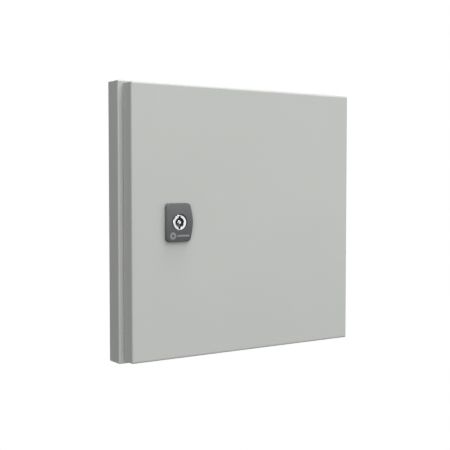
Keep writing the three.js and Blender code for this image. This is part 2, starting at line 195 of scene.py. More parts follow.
def galvanised_sheet():
    """Hot-dip galvanised sheet: crystal spangles of slightly different brightness."""
    paint = Paint("galvanised_spangle", (0.6, 0.62, 0.64), 0.4, metallic=1)
    spangle = paint.cells(110, "Color")
    grey = paint.nodes.new("ShaderNodeRGBToBW")
    paint.links.new(spangle, grey.inputs["Color"])
    paint.vary_colour(grey.outputs["Val"], (0.5, 0.52, 0.54), (0.68, 0.7, 0.71))
    paint.vary_roughness(grey.outputs["Val"], 0.32, 0.5)
    paint.bump(paint.noise(1500, 3), 0.00001)
    return paint.material


def bright_chrome():
    """Bright nickel-chrome, with faint casting ripples and polishing marks."""
    paint = Paint("bright_chrome", (0.86, 0.865, 0.87), 0.12, metallic=1)
    paint.vary_roughness(paint.noise(1200, 3), 0.08, 0.17)
    paint.bump(paint.noise(500, 2), 0.000006)
    return paint.material


def die_cast():
    """Grey zinc casting with a slightly sandy skin."""
    paint = Paint("die_cast_zinc", (0.4, 0.41, 0.43), 0.5, metallic=0.9)
    paint.vary_colour(
        paint.spread(paint.noise(300, 3), 0, 1), (0.34, 0.35, 0.37), (0.45, 0.46, 0.48))
    paint.vary_roughness(paint.noise(800, 3), 0.42, 0.6)
    paint.bump(paint.noise(2200, 3), 0.00002)
    return paint.material


def socket_painted_shade():
    """The keyhole's walls: bare zinc painted near-black, as painted shade in the deep socket."""
    # painted shade: the socket walls are coloured near-black for the shade inside the keyhole
    paint = Paint("keyhole_painted_shade", (0.04, 0.04, 0.044), 0.5, metallic=0.3)
    paint.vary_colour(
        paint.spread(paint.noise(500, 3), 0, 1), (0.035, 0.035, 0.038), (0.085, 0.085, 0.09))
    paint.vary_roughness(paint.noise(900, 3), 0.34, 0.55)
    paint.bump(paint.noise(2200, 3), 0.00002)
    return paint.material


def lock_plastic():
    """Dark-grey glass-filled nylon with a spark-eroded mould texture and a random mottle, with
    painted light: paler towards the top and darker towards the bottom.
    """
    paint = Paint("nylon_dark_grey", (0.12, 0.122, 0.132), 0.5, specular=0.5)
    height = paint.nodes.new("ShaderNodeSeparateXYZ")
    paint.links.new(paint.place, height.inputs[0])
    # painted light: the colour runs from darker at the bottom to paler at the top, by height, as
    # light falls from above
    painted_light_fade = paint.nodes.new("ShaderNodeMapRange")
    reach = 20 * MM
    painted_light_fade.inputs["From Min"].default_value = -reach
    painted_light_fade.inputs["From Max"].default_value = reach
    paint.links.new(height.outputs["Z"], painted_light_fade.inputs["Value"])
    # the painted light fade plus a random mottle
    mottle_and_painted_light = paint.nodes.new("ShaderNodeMath")
    mottle_and_painted_light.operation = "ADD"
    paint.links.new(painted_light_fade.outputs["Result"], mottle_and_painted_light.inputs[0])
    paint.links.new(paint.spread(paint.noise(250, 3), -0.08, 0.08), mottle_and_painted_light.inputs[1])
    paint.vary_colour(mottle_and_painted_light.outputs[0], (0.095, 0.098, 0.103), (0.16, 0.162, 0.172))
    paint.vary_roughness(paint.noise(1400, 3), 0.42, 0.58)
    paint.bump(paint.noise(3800, 3), 0.000025)
    return paint.material


def marking():
    """Pale grey pad-printed ink, a little worn."""
    paint = Paint("marking_pale_grey", (0.3, 0.31, 0.32), 0.5, specular=0.4)
    paint.vary_colour(
        paint.spread(paint.noise(900, 3), 0, 1), (0.22, 0.225, 0.24), (0.36, 0.365, 0.375))
    paint.vary_roughness(paint.noise(1400, 3), 0.45, 0.6)
    paint.bump(paint.noise(3800, 3), 0.00002)
    return paint.material


def foam():
    """Foamed-in-place polyurethane: a smooth skin with small open cells."""
    paint = Paint("foam_gasket_black", (0.03, 0.03, 0.032), 0.85, specular=0.3)
    paint.vary_colour(
        paint.spread(paint.noise(700, 4), 0, 1), (0.022, 0.022, 0.024), (0.04, 0.04, 0.043))
    paint.vary_roughness(paint.noise(900, 3), 0.75, 0.95)
    paint.bump(paint.cells(1400), 0.00012)
    return paint.material


def rubber():
    """Moulded black rubber."""
    paint = Paint("moulded_rubber", (0.025, 0.025, 0.027), 0.7, specular=0.35)
    paint.vary_colour(
        paint.spread(paint.noise(400, 3), 0, 1), (0.02, 0.02, 0.022), (0.034, 0.034, 0.037))
    paint.vary_roughness(paint.noise(700, 3), 0.6, 0.8)
    paint.bump(paint.noise(2500, 3), 0.00002)
    return paint.material


PAINTED = powder_coat()
ZINC = zinc_plate()
GALVANISED = galvanised_sheet()
CHROME = bright_chrome()
CASTING = die_cast()
SOCKET_SHADE = socket_painted_shade()
PLASTIC = lock_plastic()
MARKING = marking()
FOAM = foam()
RUBBER = rubber()

# ------------------------------------------------------------------ mesh making

SHARP_EDGE = math.radians(32)


def finish_mesh(mesh):
    """Merges doubles, points the faces out, and keeps only the real edges sharp."""
    work = bmesh.new()
    work.from_mesh(mesh)
    bmesh.ops.remove_doubles(work, verts=work.verts, dist=1e-7)
    bmesh.ops.recalc_face_normals(work, faces=work.faces)
    for face in work.faces:
        face.smooth = True
    for edge in work.edges:
        edge.smooth = edge.calc_face_angle(0) < SHARP_EDGE
    work.to_mesh(mesh)
    work.free()


def make_piece(name, points, faces, material):
    """A piece from points in panel axes and the faces between them."""
    mesh = bpy.data.meshes.new(name)
    mesh.from_pydata([at(*point) for point in points], [], faces)
    mesh.materials.append(material)
    finish_mesh(mesh)
    piece = bpy.data.objects.new(name, mesh)
    bpy.context.scene.collection.objects.link(piece)
    return piece


def settle(piece, body, slot, *nodes):
    """The piece rides on a body and stands for CAD nodes, which it hides; the slot is not used."""
    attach(piece, body)
    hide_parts(*nodes)
    return piece


def loft(rings, closed=False):
    """Skins equal rings of points; both ends are capped unless the last ring joins the first."""
    count = len(rings[0])
    points = [point for ring in rings for point in ring]
    faces = []
    spans = len(rings) if closed else len(rings) - 1
    for row in range(spans):
        here = row * count
        there = ((row + 1) % len(rings)) * count
        for i in range(count):
            j = (i + 1) % count
            faces.append((here + i, here + j, there + j, there + i))
    if not closed:
        faces.append(tuple(range(count)))
        faces.append(tuple(reversed(range((len(rings) - 1) * count, len(rings) * count))))
    return points, faces


def cut(piece, *cutters):
    """Cuts closed solids out of a piece and removes them."""
    for cutter in cutters:
        boolean = piece.modifiers.new("cut", "BOOLEAN")
        boolean.object = cutter
        boolean.solver = "MANIFOLD"
        bpy.context.view_layer.objects.active = piece
        bpy.ops.object.modifier_apply(modifier=boolean.name)
        bpy.data.objects.remove(cutter)
    finish_mesh(piece.data)
    return piece


# ------------------------------------------------------------------ outlines and sections


def arc(cx, cy, radius, start, end, steps):
    """Points on an arc, with the angles in degrees."""
    angles = [math.radians(start + (end - start) * i / steps) for i in range(steps + 1)]
    return [(cx + radius * math.cos(a), cy + radius * math.sin(a)) for a in angles]


def curve(start, pull, end, steps):
    """A curve from start to end, drawn towards one point."""
    points = []
    for i in range(steps + 1):
        t = i / steps
        points.append(tuple(
            (1 - t) ** 2 * a + 2 * t * (1 - t) * b + t ** 2 * c
            for a, b, c in zip(start, pull, end)))
    return points


def box_ring(half_width, half_height, radius, out, steps=6):
    """A ring round a box with rounded corners, at one distance out."""
    radius = max(radius, LEAST_CORNER)
    ring = []
    for quarter, (sx, sy) in enumerate([(1, 1), (-1, 1), (-1, -1), (1, -1)]):
        centre = sx * (half_width - radius), sy * (half_height - radius)
        ring += arc(*centre, radius, 90 * quarter, 90 * quarter + 90, steps)
    return [(x, up, out) for x, up in ring]


def filleted(corners, bends, steps=6):
    """The middle line of a bent sheet, as (point, normal) pairs, with one radius for each bend."""
    line = []
    first = (corners[1] - corners[0]).normalized()
    line.append((corners[0], Vector((-first.y, first.x))))
    for radius, before, corner, after in zip(bends, corners, corners[1:], corners[2:]):
        into = (corner - before).normalized()
        away = (after - corner).normalized()
        turn = into.angle_signed(away) * -1
        reach = radius * math.tan(abs(turn) / 2)
        start = corner - into * reach
        left = Vector((-into.y, into.x))
        side = 1 if turn > 0 else -1
        centre = start + left * side * radius
        for i in range(steps + 1):
            angle = turn * i / steps
            normal = Vector((
                left.x * math.cos(angle) - left.y * math.sin(angle),
                left.x * math.sin(angle) + left.y * math.cos(angle),
            ))
            line.append((centre - normal * side * radius, normal))
    last = (corners[-1] - corners[-2]).normalized()
    line.append((corners[-1], Vector((-last.y, last.x))))
    return with_supports(line)


def with_supports(line):
    """Adds a point on each straight stretch, close to the bend at its end."""
    support = 0.25
    full = []
    for here, there in zip(line, line[1:]):
        full.append(here)
        span = there[0] - here[0]
        if here[1].angle(there[1]) < 1e-4 and span.length > 4 * support:
            step = span.normalized() * support
            full.append((here[0] + step, here[1]))
            full.append((there[0] - step, there[1]))
    full.append(line[-1])
    return full


def sheet_section(line, thickness):
    """The outline of a bent sheet: along one face, over the free end, and back on the other."""
    half = thickness / 2
    ease = 0.3
    end, normal = line[-1]
    along = Vector((normal.y, -normal.x))
    outer = [point + side * half for point, side in line[:-1]]
    inner = [point - side * half for point, side in line[:-1]]
    tip = [
        end - along * ease + normal * half,
        end - along * ease * 0.3 + normal * (half - ease * 0.3),
        end + normal * (half - ease),
        end - normal * (half - ease),
        end - along * ease * 0.3 - normal * (half - ease * 0.3),
        end - along * ease - normal * half,
    ]
    return outer + tip + list(reversed(inner))


def folded_tray(name, section, half_width, half_height, corner, material):
    """A section of (inset, out) points carried round a box, closed by its two panel faces."""
    rings = [
        box_ring(half_width - inset, half_height - inset, corner - inset, out)
        for inset, out in section
    ]
    return make_piece(name, *loft(rings), material)


# ------------------------------------------------------------------ turned pieces


def polar_ring(centre, radius, along, sides, axis):
    """A ring about an axis; the radius may depend on the angle and the place along the axis.

    The centre is (x, up) for an axis that runs out from the wall, and (x, out) for one that
    stands upright.
    """
    ring = []
    for i in range(sides):
        angle = TURN * i / sides
        reach = radius(angle, along) if callable(radius) else radius
        first = centre[0] + reach * math.cos(angle)
        second = centre[1] + reach * math.sin(angle)
        ring.append((first, second, along) if axis == "out" else (first, along, second))
    return ring


def turned(name, centre, profile, material, sides=48, axis="out"):
    """A solid from (radius, place along the axis) pairs, closed by a flat face at each end."""
    rings = [polar_ring(centre, radius, along, sides, axis) for radius, along in profile]
    return make_piece(name, *loft(rings), material)


def turned_ring(name, centre, profile, material, sides=48):
    """A ring-shaped solid from a closed loop of (radius, out) pairs."""
    rings = [polar_ring(centre, radius, out, sides, "out") for radius, out in profile]
    return make_piece(name, *loft(rings, closed=True), material)


THREAD_STEPS = 6  # rings to each turn of a thread


def hexagon(across_flats):
    """The radius of a hexagon at an angle."""

    def radius(angle, out):
        return across_flats / 2 / math.cos((angle + TURN / 12) % (TURN / 6) - TURN / 12)

    return radius


def threaded(radius, pitch, depth):
    """The radius of a screw thread at an angle and height."""

    def at_place(angle, out):
        phase = (out / pitch - angle / TURN) % 1
        return radius - depth * abs(2 * phase - 1)

    return at_place


def thread_profile(radius, pitch, low, high):
    """Rings of a thread between two heights, run out at both ends."""
    depth = pitch * 0.55
    steps = max(2, round((high - low) / pitch * THREAD_STEPS))
    shape = threaded(radius, pitch, depth)
    root = radius - depth
    heights = [low + (high - low) * i / steps for i in range(steps + 1)]
    return [(root, low - 0.01)] + [(shape, out) for out in heights] + [(root, high + 0.01)]


def chamfered_hexagon(across_flats, low, high):
    """The radius of a hexagon whose corners are turned away at both faces."""
    flat = hexagon(across_flats)
    face_radius = across_flats / 2 * 0.96
    slope = 1.7

    def radius(angle, out):
        edge = min(out - low, high - out)
        return min(flat(angle, out), face_radius + edge * slope)

    return radius


def hex_nut(name, centre, low, high, across_flats, bore, pitch):
    """A hexagon nut with chamfered corners and a threaded bore."""
    shape = chamfered_hexagon(across_flats, low, high)
    crown = across_flats * 0.09
    heights = [low + crown * i / 5 for i in range(6)]
    heights += [high - crown * i / 5 for i in range(5, -1, -1)]
    outside = [(shape, out) for out in heights]
    inside_steps = max(4, round((high - low) / pitch * THREAD_STEPS))
    thread = threaded(bore + pitch * 0.1, pitch, pitch * 0.5)
    mouth = bore + pitch * 0.35
    run_out = 0.3
    length = high - low - 2 * run_out
    inside = [(mouth, high)]
    for i in range(inside_steps + 1):
        inside.append((thread, high - run_out - length * i / inside_steps))
    inside.append((mouth, low))
    return turned_ring(name, centre, outside + inside, ZINC)


def flat_washer(name, centre, low, high, bore, radius, material=ZINC):
    """A flat ring with eased edges."""
    ease = min(0.18, (high - low) / 4)
    profile = [
        (bore + ease, low), (radius - ease, low), (radius, low + ease), (radius, high - ease),
        (radius - ease, high), (bore + ease, high), (bore, high - ease), (bore, low + ease),
    ]
    return turned_ring(name, centre, profile, material)


# ------------------------------------------------------------------ body

WALL_HOLE = 4.25
WALL_HOLE_INSET = 28
SIDES = ("left", "right")
GROMMET_LIP = 2  # how far a grommet's flange reaches past its neck


def grommet_place(side):
    """Where a cable grommet's upright axis stands, as (x, out), and its flange radius."""
    low, high = panel_box(f"cable_grommet_{side}")
    return ((low.x + high.x) / 2, (low.z + high.z) / 2), (high.x - low.x) / 2


def body_section():
    """From the back wall, round the side and the gutter floor, to the front edge of the lip.

    The lip stands at the same distance from the middle on every side, so the section is drawn for
    the top edge and the wider sides take up the difference in their gutter floor.
    """
    half = SHEET / 2
    lip = HALF_HEIGHT - LIP_OUTER + half
    corners = [
        Vector((PANEL_INSET, half)),
        Vector((half, half)),
        Vector((half, FLANGE - half)),
        Vector((lip, FLANGE - half)),
        Vector((lip, LIP_FRONT)),
    ]
    bends = [half, BODY_BEND - half, 2 * SHEET - half]
    return sheet_section(filleted(corners, bends), SHEET)


def round_cutter(centre, radius, low, high, axis="out"):
    """A plain cylinder to cut with."""
    return turned("cutter", centre, [(radius, low), (radius, high)], PAINTED, 40, axis)


def make_body():
    """The folded body: back wall, sides, gutter floor and forward lip, in one skin."""
    extra = HALF_WIDTH - HALF_HEIGHT
    gutter = BODY_BEND + 1
    rings = []
    for inset, out in body_section():
        widened = extra if inset < gutter or out < FLANGE - SHEET - 0.01 else 0
        rings.append(box_ring(
            HALF_HEIGHT - inset + widened, HALF_HEIGHT - inset, CORNER - inset, out))
    body = make_piece("body_sheet", *loft(rings), PAINTED)
    pitch = HALF_HEIGHT - WALL_HOLE_INSET
    for sx in (-1, 1):
        for sy in (-1, 1):
            cut(body, round_cutter((sx * pitch, sy * pitch), WALL_HOLE, -2, SHEET + 2))
    for side in SIDES:
        centre, flange = grommet_place(side)
        hole = flange - GROMMET_LIP + CLEAR
        bottom = -HALF_HEIGHT
        cut(body, round_cutter(centre, hole, bottom - 2, bottom + 2, "up"))
    return settle(body, "case", "painted_steel", "body_shell")


# ------------------------------------------------------------------ door

LOCK_SLEEVE = 11  # radius of the threaded sleeve that passes through the door
SLEEVE_PITCH = 1.5


def door_section():
    """From the front panel, round its edge, to the rear end of the fold."""
    half = SHEET / 2
    corners = [
        Vector((PANEL_INSET, DOOR_FRONT - half)),
        Vector((half, DOOR_FRONT - half)),
        Vector((half, DOOR_REAR)),
    ]
    return sheet_section(filleted(corners, [DOOR_BEND - half]), SHEET)


def make_door():
    """The door: a front panel with four folded edges and the lock hole."""
    door = folded_tray("door_sheet", door_section(), HALF_DOOR, HALF_DOOR, CORNER, PAINTED)
    nut_rear = panel_box("lock_nut")[0].z
    cut(door, round_cutter(LOCK, LOCK_SLEEVE + CLEAR, nut_rear, DOOR_FRONT + 2))
    return settle(door, "door", "painted_steel", "door_shell")


def make_gasket():
    """The foamed bead inside the door, crowned, with the groove that the lip has pressed."""
    low, high = panel_box("door_gasket")
    middle = (LIP_OUTER + LIP_INNER) / 2
    half_width = high.x - middle
    height = high.z - low.z
    corner = 9
    steps = 16
    groove_depth, groove_width = 0.17, 0.16
    section = []
    for i in range(steps + 1):
        t = math.pi * i / steps
        across = -math.cos(t)
        rise = min(1.0, math.sin(t) ** 0.5 * 1.04)
        groove = groove_depth * math.exp(-((across / groove_width) ** 2))
        section.append(Vector((across * half_width, high.z - height * (rise - groove))))
    rings = [
        box_ring(middle + offset, middle + offset, corner + offset, out, steps=8)
        for offset, out in section
    ]
    gasket = make_piece("door_foam_gasket", *loft(rings, closed=True), FOAM)
    return settle(gasket, "door", "foam_gasket", "door_gasket")


# ------------------------------------------------------------------ lock

WINDOW = 9.4
COVER_CROWN = 1.0  # how far the face bends back at the top and bottom
COVER_HOLLOW = 14.2  # radius of the hollow over the housing's flange
COVER_SIDE = 14.4  # from the lock axis to the right side, at its corners
COVER_LEFT_CORNER = 4
COVER_RIGHT_CORNER = 5.5
MARKING_DROP = 14.3  # from the lock axis down to the marking
MARKING_SUNK = 0.25
MARKING_PROUD = 0.12
HOUSING_FLANGE = 13.6  # radius
SEAL_RADIUS = 13.8
LOCK_NUT_FLATS = 27


def cover_ring(inset, out):
    """The cover's outline: square on the latch side, with a shallow point on the hinge side."""
    left = cover_low.x - LOCK[0] + inset
    right = COVER_SIDE - inset
    peak = cover_high.x - LOCK[0] - inset
    half = cover_high.y - LOCK[1] - inset
    round_left = COVER_LEFT_CORNER - inset / 2
    turn = COVER_RIGHT_CORNER
    corner_pull = right - 0.5
    point_pull = 5
    lower_corner = curve((right - turn, -half), (corner_pull, -half), (right, -half + turn), 6)
    lower_side = curve((right, -half + turn), (peak, -point_pull), (peak, 0), 8)
    upper_side = curve((peak, 0), (peak, point_pull), (right, half - turn), 8)
    upper_corner = curve((right, half - turn), (corner_pull, half), (right - turn, half), 6)
    ring = lower_corner + lower_side[1:] + upper_side[1:] + upper_corner[1:]
    ring += arc(left + round_left, half - round_left, round_left, 90, 180, 6)
    ring += arc(left + round_left, -half + round_left, round_left, 180, 270, 6)
    return [(LOCK[0] + x, LOCK[1] + y, out) for x, y in ring]


def crowned(ring, share=1.0):
    """A cover ring drawn in to a share of its size and bent back towards the top and bottom."""
    half = cover_high.y - LOCK[1]
    bent = []
    for x, up, out in ring:
        x = LOCK[0] + (x - LOCK[0]) * share
        rise = (up - LOCK[1]) * share
        bent.append((x, LOCK[1] + rise, out - COVER_CROWN * (rise / half) ** 2))
    return bent


def make_cover():
    """The moulded cover: a rounded edge and a gently crowned face with a round window."""
    rear, front = cover_low.z, cover_high.z
    edge = 0.8
    draft = 0.06
    rings = [cover_ring(0, rear), cover_ring(0, rear + 0.3)]
    for i in range(7):
        angle = math.pi / 2 * i / 6
        rings.append(crowned(cover_ring(
            draft + edge * (1 - math.cos(angle)), front - edge * (1 - math.sin(angle)))))
    face = cover_ring(draft + edge + 0.3, front)
    rings += [crowned(face, share) for share in (1, 0.9, 0.8, 0.7, 0.6, 0.5, 0.4, 0.3)]
    cover = make_piece("lock_cover_moulding", *loft(rings), PLASTIC)
    flange = panel_box("lock_housing")[1].z
    cut(
        cover,
        round_cutter(LOCK, COVER_HOLLOW, rear - 1, flange + CLEAR),
        turned("cutter", LOCK, [
            (WINDOW, flange - 0.5), (WINDOW, front - 0.35), (WINDOW + 0.5, front + 0.15),
            (WINDOW + 0.5, front + 1),
        ], PLASTIC),
    )
    return settle(cover, "door", "lock_plastic", "lock_cover")


def make_cover_marking():
    """A raised blank marking below the window: a ring beside a plain bar."""
    rise = LOCK[1] - MARKING_DROP
    low, high = cover_high.z - MARKING_SUNK, cover_high.z + MARKING_PROUD
    shoulder = high - 0.05
    bore, radius = 1.3, 3.9
    section = [(bore, low), (radius, low), (radius, shoulder), (radius - 0.1, high)]
    section += [(bore + 0.1, high), (bore, shoulder)]
    emblem_centre = LOCK[0] - 8.3, rise
    rings = [crowned(polar_ring(emblem_centre, reach, out, 40, "out")) for reach, out in section]
    emblem = make_piece("lock_cover_emblem", *loft(rings, closed=True), MARKING)
    settle(emblem, "door", "lock_plastic", "lock_cover")
    bar_middle = LOCK[0] + 4.4
    half_length, half_height = 7.5, 1
    rings = []
    for inset, out in [(0, low), (0, shoulder), (0.06, high)]:
        outline = box_ring(half_length - inset, half_height - inset, 0.5, out, steps=3)
        rings.append(crowned([(bar_middle + x, rise + up, out) for x, up, out in outline]))
    bar = make_piece("lock_cover_bar", *loft(rings), MARKING)
    settle(bar, "door", "lock_plastic", "lock_cover")


def make_lock_seal():
    """The flat rubber ring between the door and the housing's flange."""
    low, high = panel_box("lock_seal")
    bore = LOCK_SLEEVE + CLEAR
    seal = flat_washer("lock_seal_ring", LOCK, low.z, high.z, bore, SEAL_RADIUS, RUBBER)
    return settle(seal, "door", "rubber", "lock_seal")


def make_housing():
    """The die-cast housing: a flange in front of a threaded sleeve."""
    low, high = panel_box("lock_housing")
    flange_rear = panel_box("lock_seal")[1].z + CLEAR
    bore = 7.6
    ease = 0.3
    rim = HOUSING_FLANGE - ease
    sleeve = thread_profile(LOCK_SLEEVE, SLEEVE_PITCH, low.z + 0.6, flange_rear - 1.2)
    profile = [(bore, low.z), (LOCK_SLEEVE - 0.8, low.z), *sleeve]
    profile += [(LOCK_SLEEVE, flange_rear - 1), (LOCK_SLEEVE, flange_rear), (rim, flange_rear)]
    profile += [(HOUSING_FLANGE, flange_rear + ease), (HOUSING_FLANGE, high.z - ease)]
    profile += [(rim, high.z), (bore, high.z)]
    housing = turned_ring("lock_housing_casting", LOCK, profile, CASTING, sides=64)
    return settle(housing, "door", "die_cast_zinc", "lock_housing")


def make_lock_nut():
    """The hexagon nut that clamps the housing from behind the door."""
    low, high = panel_box("lock_nut")
    bore = LOCK_SLEEVE + CLEAR
    nut = hex_nut("lock_sleeve_nut", LOCK, low.z, high.z, LOCK_NUT_FLATS, bore, SLEEVE_PITCH)
    return settle(nut, "door", "zinc_plated_steel", "lock_nut")


def keyhole(widen):
    """The double-bit keyhole's radius: a round socket with a slot above it and below it."""
    socket = 5.2 + widen
    slot = 1.3 + widen
    reach = 6.9 + widen * 0.5

    def radius(angle, out):
        across = abs(math.cos(angle))
        along = abs(math.sin(angle))
        side = slot / max(across, 1e-6)
        return min(max(socket, side), max(socket, reach / max(along, 1e-6)))

    return radius


def make_insert():
    """The turning insert: a head with the keyhole, a shank and a square tail."""
    low, high = panel_box("lock_insert")
    head = high.x - LOCK[0]
    shank = 7.3
    bore = 2.8
    narrow = bore - 0.1
    tail_top = low.z + 3.8
    head_rear = panel_box("lock_housing")[1].z + CLEAR
    floor = panel_box("lock_pin")[0].z + 1.5 - CLEAR
    front = high.z
    profile = [
        (bore, low.z), (3.4, low.z), (square_tail, low.z), (square_tail, tail_top),
        (shank, tail_top), (shank, head_rear), (head - 0.25, head_rear),
        (head, head_rear + 0.25), (head, front - 0.55), (head - 0.12, front - 0.25),
        (head - 0.45, front), (keyhole(0.2), front), (keyhole(0), front - 0.2),
        (keyhole(0), floor), (bore, floor), (bore, floor - 1.5), (narrow, floor - 1.5),
        (narrow, low.z + 6), (bore, low.z + 6),
    ]
    insert = turned_ring("lock_insert_core", LOCK, profile, CHROME, sides=144)
    shade_the_socket_walls(insert)
    return settle(insert, "lock", "chrome", "lock_insert")


def shade_the_socket_walls(insert):
    """Gives the walls of the keyhole their own material: unplated zinc, near-black as painted
    shade.
    """
    mesh = insert.data
    mesh.materials.append(SOCKET_SHADE)
    axis = at(*LOCK, 0)
    for face in mesh.polygons:
        spoke = face.center - axis
        spoke.y = 0
        # the inward-facing walls take the near-black painted shade
        if abs(face.normal.y) < 0.5 and face.normal.dot(spoke) < 0:
            face.material_index = 1


def square_tail(angle, out):
    """The radius of the insert's square tail."""
    return 3.6 / max(abs(math.cos(angle)), abs(math.sin(angle)))


def make_pin():
    """The pin in the keyhole, with a rounded tip."""
    low, high = panel_box("lock_pin")
    radius = high.x - LOCK[0]
    tip = 1.1
    profile = [(radius, low.z), (radius, high.z - tip)]
    for i in range(1, 7):
        angle = math.pi / 2 * i / 6
        profile.append((
            radius - tip * (1 - math.cos(angle)), high.z - tip * (1 - math.sin(angle))))
    pin = turned("lock_key_pin", LOCK, profile, CHROME)
    return settle(pin, "lock", "chrome", "lock_pin")


# ------------------------------------------------------------------ hinges

LEAF = 1.2
KNUCKLE = 3
DOOR_KNUCKLE_HALF = 8
ROLL = KNUCKLE - LEAF / 2
ROLL_TURN = 270
LIP_ROOT_CLEAR = 0.6
PAST_KNUCKLE = 2 * KNUCKLE  # how far from the hinge axis a cut reaches


def rolled_end(start_angle, steps=28):
    """The middle line of a leaf's rolled knuckle, as (point, normal) pairs round the pin.

    It stops short of a whole turn, so that its end stays clear of the leaf that it grows from.
    """
    line = []
    for i in range(steps + 1):
        angle = math.radians(start_angle - ROLL_TURN * i / steps)
        spoke = Vector((math.cos(angle), math.sin(angle)))
        line.append((Vector((HINGE, HINGE_OUT)) + spoke * ROLL, spoke))
    return line


def upright_sheet(name, outline, low, high, material):
    """A sheet section of (x, out) points, carried straight up from low to high."""
    rings = [[(x, up, out) for x, out in outline] for up in (low, high)]
    return make_piece(name, *loft(rings), material)


def block_cutter(low, high):
    """A rectangular block between two (x, up, out) corners."""
    corners = [(low[0], low[2]), (high[0], low[2]), (high[0], high[2]), (low[0], high[2])]
    return upright_sheet("cutter", corners, low[1], high[1], ZINC)


def make_body_leaf(place):
    """A leaf that stands on the lip and reaches over to two rolled knuckles."""
    low, high = panel_box(f"hinge_{place}_body_leaf")
    middle = (low.y + high.y) / 2
    riser = low.x + LEAF / 2
    corners = [
        Vector((riser, low.z + LIP_ROOT_CLEAR)),
        Vector((riser, HINGE_OUT + ROLL)),
        Vector((HINGE, HINGE_OUT + ROLL)),
    ]
    line = filleted(corners, [1.8])[:-1] + rolled_end(90)
    leaf = upright_sheet(
        f"hinge_{place}_frame_leaf", sheet_section(line, LEAF), low.y, high.y, ZINC)
    reach = DOOR_KNUCKLE_HALF + CLEAR
    cut(leaf, block_cutter(
        (riser + 2.6, middle - reach, low.z - 1),
        (HINGE + PAST_KNUCKLE, middle + reach, HINGE_OUT + PAST_KNUCKLE)))
    return settle(leaf, "case", "zinc_plated_steel", f"hinge_{place}_body_leaf")


def make_door_leaf(place):
    """A flat leaf on the door's edge fold, with one rolled knuckle at its middle."""
    low, high = panel_box(f"hinge_{place}_door_leaf")
    middle = (low.y + high.y) / 2
    line = [
        (Vector((HINGE + ROLL, high.z)), Vector((1, 0))),
        (Vector((HINGE + ROLL, HINGE_OUT + 0.3)), Vector((1, 0))),
    ] + rolled_end(0)
    leaf = upright_sheet(
        f"hinge_{place}_panel_leaf", sheet_section(line, LEAF), low.y, high.y, ZINC)
    plate_low = HINGE_OUT + KNUCKLE + 0.6
    left, right = HINGE - PAST_KNUCKLE, HINGE + PAST_KNUCKLE
    rear = HINGE_OUT - PAST_KNUCKLE
    for bottom, top in (
        (middle + DOOR_KNUCKLE_HALF, high.y + 1),
        (low.y - 1, middle - DOOR_KNUCKLE_HALF),
    ):
        cut(leaf, block_cutter((left, bottom, rear), (right, top, plate_low)))
    return settle(leaf, "door", "zinc_plated_steel", f"hinge_{place}_door_leaf")


def make_hinge_pin(place):
    """A hinge pin with a head at its top."""
    low, high = panel_box(f"hinge_{place}_pin")
    top = high.y
    profile = [(1.1, low.y), (1.5, low.y + 0.5), (1.5, top - 1.8), (2.3, top - 1.7)]
    profile += [(2.6, top - 1.4), (2.6, top - 0.8), (2.2, top - 0.3), (1.4, top)]
    pin = turned(
        f"hinge_{place}_steel_pin", (HINGE, HINGE_OUT), profile, ZINC, sides=32, axis="up")
    return settle(pin, "case", "zinc_plated_steel", f"hinge_{place}_pin")


# ------------------------------------------------------------------ studs, nuts and grommets

M6 = 3  # radius
M6_PITCH = 1.0
M6_FLATS = 10
M5 = 2.5
M5_PITCH = 0.8
M5_FLATS = 8
PLATE_COLLAR = 6.2  # heights of the studs' collars
EARTH_COLLAR = 1


def make_stud(node, body, collar, points_out=True):
    """A threaded stud on a round collar, welded to the sheet behind it."""
    low, high = panel_box(node)
    radius = (high.x - low.x) / 2
    way = 1 if points_out else -1
    root, tip = (low.z, high.z) if points_out else (high.z, low.z)
    profile = [(radius, root), (radius, root + way * (collar - 0.3))]
    profile += [(radius - 0.3, root + way * collar)]
    thread = thread_profile(M6, M6_PITCH, 0, abs(tip - root) - collar - 1.1)
    profile += [(shape, root + way * (collar + 0.2 + along)) for shape, along in thread]
    profile += [(M6 - 0.7, tip - way * 0.3), (M6 - 1, tip)]
    stud = turned(f"{node}_threaded", centre_of(node), profile, ZINC, sides=36)
    return settle(stud, body, "zinc_plated_steel", node)


def make_washer(node, body):
    """A flat washer round an M6 stud."""
    low, high = panel_box(node)
    radius = (high.x - low.x) / 2
    washer = flat_washer(f"{node}_disc", centre_of(node), low.z, high.z, M6 + CLEAR, radius)
    return settle(washer, body, "zinc_plated_steel", node)


def make_nut(node, body):
    """A hexagon nut on an M6 stud."""
    low, high = panel_box(node)
    nut = hex_nut(f"{node}_threaded", centre_of(node), low.z, high.z, M6_FLATS, M6, M6_PITCH)
    return settle(nut, body, "zinc_plated_steel", node)


def make_fixings():
    """The mounting plate's four studs and the two earth studs, with their washers and nuts."""
    for number in range(1, 5):
        make_stud(f"plate_stud_{number}", "case", PLATE_COLLAR)
        make_washer(f"plate_washer_{number}", "case")
        make_nut(f"plate_nut_{number}", "case")
    make_stud("body_earth_stud", "case", EARTH_COLLAR)
    make_stud("door_earth_stud", "door", EARTH_COLLAR, points_out=False)
    for place, body in (("body", "case"), ("door", "door")):
        make_washer(f"{place}_earth_washer", body)
        make_nut(f"{place}_earth_nut", body)


